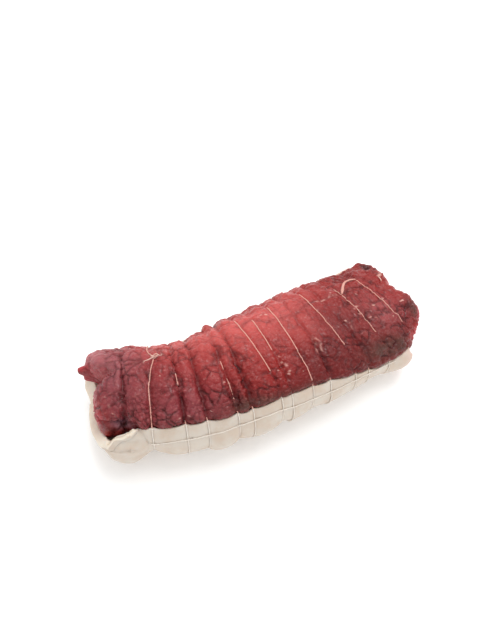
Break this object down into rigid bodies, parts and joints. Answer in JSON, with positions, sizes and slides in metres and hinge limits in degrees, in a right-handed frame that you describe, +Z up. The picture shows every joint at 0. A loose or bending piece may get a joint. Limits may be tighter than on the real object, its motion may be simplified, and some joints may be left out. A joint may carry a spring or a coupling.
{
  "type": "raw beef roasting joint",
  "caption": "Raw tied beef roasting joint on a sheet of barding fat, with twine loops pressed into the meat.",
  "frame": {"origin": "middle of the bounding box, at the level of the surface that the joint rests on", "axes": "+X along the joint towards its wider right end, +Z up, the shown flank faces -Y"},
  "size_m": [0.312, 0.1342, 0.069],
  "materials": {
    "raw_beef": "moist, satin",
    "barding_fat": "waxy, satin",
    "cotton_twine": "matt, damp"
  },
  "bodies": {
    "root": {"meat": "raw_beef", "fat_sheet": "barding_fat", "twine_loop_01": "cotton_twine", "twine_loop_02": "cotton_twine", "twine_loop_03": "cotton_twine", "twine_loop_04": "cotton_twine", "twine_loop_05": "cotton_twine", "twine_loop_06": "cotton_twine", "twine_loop_07": "cotton_twine", "twine_loop_08": "cotton_twine", "twine_loop_09": "cotton_twine", "twine_loop_10": "cotton_twine", "twine_loop_11": "cotton_twine", "twine_loop_12": "cotton_twine", "twine_loop_13": "cotton_twine", "twine_loop_14": "cotton_twine", "twine_side": "cotton_twine", "twine_knot": "cotton_twine", "twine_tail_left": "cotton_twine", "twine_tail_right": "cotton_twine", "twine_slack": "cotton_twine", "twine_stray_end": "cotton_twine"}
  },
  "joints": []
}
